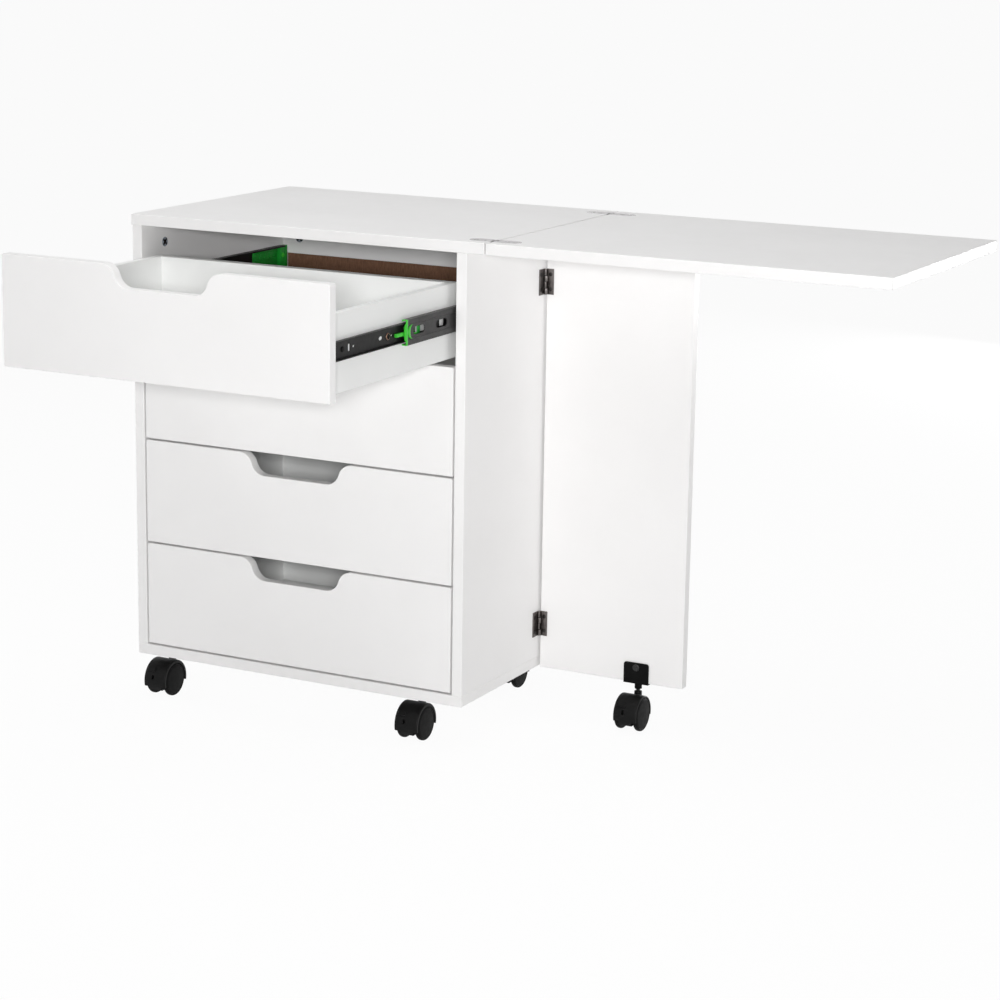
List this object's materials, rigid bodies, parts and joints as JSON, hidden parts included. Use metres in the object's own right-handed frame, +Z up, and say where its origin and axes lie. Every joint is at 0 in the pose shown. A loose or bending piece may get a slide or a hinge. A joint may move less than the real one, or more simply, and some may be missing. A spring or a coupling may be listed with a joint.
{
  "type": "folding sewing and cutting table",
  "caption": "Wheeled drawer cabinet with a fixed top, a flush-hinged leaf that unfolds beside it and a swing-out gate on a caster that supports the leaf.",
  "frame": {"origin": "bottom centre of the table's box, open as in the picture, on the floor", "axes": "+X runs from the cabinet to the leaf, +Y from the drawers to the back, +Z up"},
  "size_m": [1.1746, 0.774, 0.74],
  "materials": {
    "white_board": "white laminate, satin",
    "hardboard": "bare hardboard",
    "black_rail": "black, satin",
    "grey_rail": "dark, satin",
    "green_plastic": "moulded",
    "bright_hinge": "polished",
    "dark_nickel": "dark nickel",
    "zinc_steel": "zinc",
    "black_bracket": "black, satin",
    "black_plastic": "moulded",
    "black_wheel": "moulded"
  },
  "bodies": {
    "cabinet": {"fixed_top": "white_board", "left_side_panel": "white_board", "right_side_panel": "white_board", "bottom_panel": "white_board", "back_panel": "hardboard", "top_back_rail": "white_board", "case_rails": "black_rail", "soft_close_units": "green_plastic", "caster_sockets": "zinc_steel", "leaf_hinge_fixed_plates": "bright_hinge", "gate_hinge_fixed_leaves": "dark_nickel"},
    "leaf_links": {"leaf_hinge_links": "bright_hinge"},
    "leaf": {"leaf_panel": "white_board", "leaf_hinge_moving_plates": "bright_hinge"},
    "gate": {"gate_panel": "white_board", "gate_hinge_moving_leaves": "dark_nickel", "gate_caster_clip": "black_bracket", "gate_caster_stem": "black_bracket"},
    "drawer_1": {"drawer_1_front": "white_board", "drawer_1_sides": "white_board", "drawer_1_back": "white_board", "drawer_1_bottom": "white_board", "drawer_1_rails": "black_rail", "drawer_1_release_levers": "green_plastic"},
    "drawer_1_slide_members": {"drawer_1_mid_rails": "grey_rail", "drawer_1_rail_caps": "green_plastic"},
    "drawer_2": {"drawer_2_front": "white_board", "drawer_2_sides": "white_board", "drawer_2_back": "white_board", "drawer_2_bottom": "white_board", "drawer_2_rails": "black_rail", "drawer_2_release_levers": "green_plastic"},
    "drawer_2_slide_members": {"drawer_2_mid_rails": "grey_rail", "drawer_2_rail_caps": "green_plastic"},
    "drawer_3": {"drawer_3_front": "white_board", "drawer_3_sides": "white_board", "drawer_3_back": "white_board", "drawer_3_bottom": "white_board", "drawer_3_rails": "black_rail", "drawer_3_release_levers": "green_plastic"},
    "drawer_3_slide_members": {"drawer_3_mid_rails": "grey_rail", "drawer_3_rail_caps": "green_plastic"},
    "drawer_4": {"drawer_4_front": "white_board", "drawer_4_sides": "white_board", "drawer_4_back": "white_board", "drawer_4_bottom": "white_board", "drawer_4_rails": "black_rail", "drawer_4_release_levers": "green_plastic"},
    "drawer_4_slide_members": {"drawer_4_mid_rails": "grey_rail", "drawer_4_rail_caps": "green_plastic"},
    "front_left_caster": {"front_left_caster_hood": "black_plastic"},
    "front_left_wheel_pair": {"front_left_caster_wheels": "black_wheel"},
    "front_right_caster": {"front_right_caster_hood": "black_plastic"},
    "front_right_wheel_pair": {"front_right_caster_wheels": "black_wheel"},
    "rear_left_caster": {"rear_left_caster_hood": "black_plastic"},
    "rear_left_wheel_pair": {"rear_left_caster_wheels": "black_wheel"},
    "rear_right_caster": {"rear_right_caster_hood": "black_plastic"},
    "rear_right_wheel_pair": {"rear_right_caster_wheels": "black_wheel"},
    "gate_caster": {"gate_caster_hood": "black_plastic"},
    "gate_wheel_pair": {"gate_caster_wheels": "black_wheel"}
  },
  "joints": [
    {"name": "leaf_link_pivot", "type": "hinge", "parent": "cabinet", "child": "leaf_links", "pos_m": [-0.00255, 0.167, 0.7378], "axis": [0, -1, 0], "range_deg": [0, 90]},
    {"name": "leaf_pivot", "type": "hinge", "parent": "leaf_links", "child": "leaf", "pos_m": [0.00255, 0.167, 0.7378], "axis": [0, -1, 0], "range_deg": [0, 90]},
    {"name": "gate_swing", "type": "hinge", "parent": "cabinet", "child": "gate", "pos_m": [-0.025, 0.1887, 0.4], "axis": [0, 0, -1], "range_deg": [0, 90]},
    {"name": "drawer_1_slide", "type": "slide", "parent": "cabinet", "child": "drawer_1", "axis": [0, -1, 0], "range_m": [-0.335, 0.015]},
    {"name": "drawer_1_mid_slide", "type": "slide", "parent": "cabinet", "child": "drawer_1_slide_members", "axis": [0, -1, 0], "range_m": [-0.1675, 0.0075]},
    {"name": "drawer_2_slide", "type": "slide", "parent": "cabinet", "child": "drawer_2", "axis": [0, -1, 0], "range_m": [0, 0.35]},
    {"name": "drawer_2_mid_slide", "type": "slide", "parent": "cabinet", "child": "drawer_2_slide_members", "axis": [0, -1, 0], "range_m": [0, 0.175]},
    {"name": "drawer_3_slide", "type": "slide", "parent": "cabinet", "child": "drawer_3", "axis": [0, -1, 0], "range_m": [0, 0.35]},
    {"name": "drawer_3_mid_slide", "type": "slide", "parent": "cabinet", "child": "drawer_3_slide_members", "axis": [0, -1, 0], "range_m": [0, 0.175]},
    {"name": "drawer_4_slide", "type": "slide", "parent": "cabinet", "child": "drawer_4", "axis": [0, -1, 0], "range_m": [0, 0.35]},
    {"name": "drawer_4_mid_slide", "type": "slide", "parent": "cabinet", "child": "drawer_4_slide_members", "axis": [0, -1, 0], "range_m": [0, 0.175]},
    {"name": "front_left_swivel", "type": "hinge", "parent": "cabinet", "child": "front_left_caster", "pos_m": [-0.5605, 0.0011, 0.045], "axis": [0, 0, 1], "continuous": true},
    {"name": "front_left_roll", "type": "hinge", "parent": "front_left_caster", "child": "front_left_wheel_pair", "pos_m": [-0.5605, -0.0189, 0.025], "axis": [1, 0, 0], "continuous": true},
    {"name": "front_right_swivel", "type": "hinge", "parent": "cabinet", "child": "front_right_caster", "pos_m": [-0.1213, 0.0011, 0.045], "axis": [0, 0, 1], "continuous": true},
    {"name": "front_right_roll", "type": "hinge", "parent": "front_right_caster", "child": "front_right_wheel_pair", "pos_m": [-0.1213, -0.0189, 0.025], "axis": [1, 0, 0], "continuous": true},
    {"name": "rear_left_swivel", "type": "hinge", "parent": "cabinet", "child": "rear_left_caster", "pos_m": [-0.5605, 0.305, 0.045], "axis": [0, 0, 1], "continuous": true},
    {"name": "rear_left_roll", "type": "hinge", "parent": "rear_left_caster", "child": "rear_left_wheel_pair", "pos_m": [-0.5605, 0.285, 0.025], "axis": [1, 0, 0], "continuous": true},
    {"name": "rear_right_swivel", "type": "hinge", "parent": "cabinet", "child": "rear_right_caster", "pos_m": [-0.1213, 0.305, 0.045], "axis": [0, 0, 1], "continuous": true},
    {"name": "rear_right_roll", "type": "hinge", "parent": "rear_right_caster", "child": "rear_right_wheel_pair", "pos_m": [-0.1213, 0.285, 0.025], "axis": [1, 0, 0], "continuous": true},
    {"name": "gate_swivel", "type": "hinge", "parent": "gate", "child": "gate_caster", "pos_m": [0.1354, 0.2, 0.045], "axis": [0, 0, 1], "continuous": true},
    {"name": "gate_roll", "type": "hinge", "parent": "gate_caster", "child": "gate_wheel_pair", "pos_m": [0.1354, 0.18, 0.025], "axis": [1, 0, 0], "continuous": true}
  ],
  "couplings": [
    {"joint": "drawer_1_mid_slide", "follows": "drawer_1_slide", "ratio": 0.5},
    {"joint": "drawer_2_mid_slide", "follows": "drawer_2_slide", "ratio": 0.5},
    {"joint": "drawer_3_mid_slide", "follows": "drawer_3_slide", "ratio": 0.5},
    {"joint": "drawer_4_mid_slide", "follows": "drawer_4_slide", "ratio": 0.5}
  ]
}
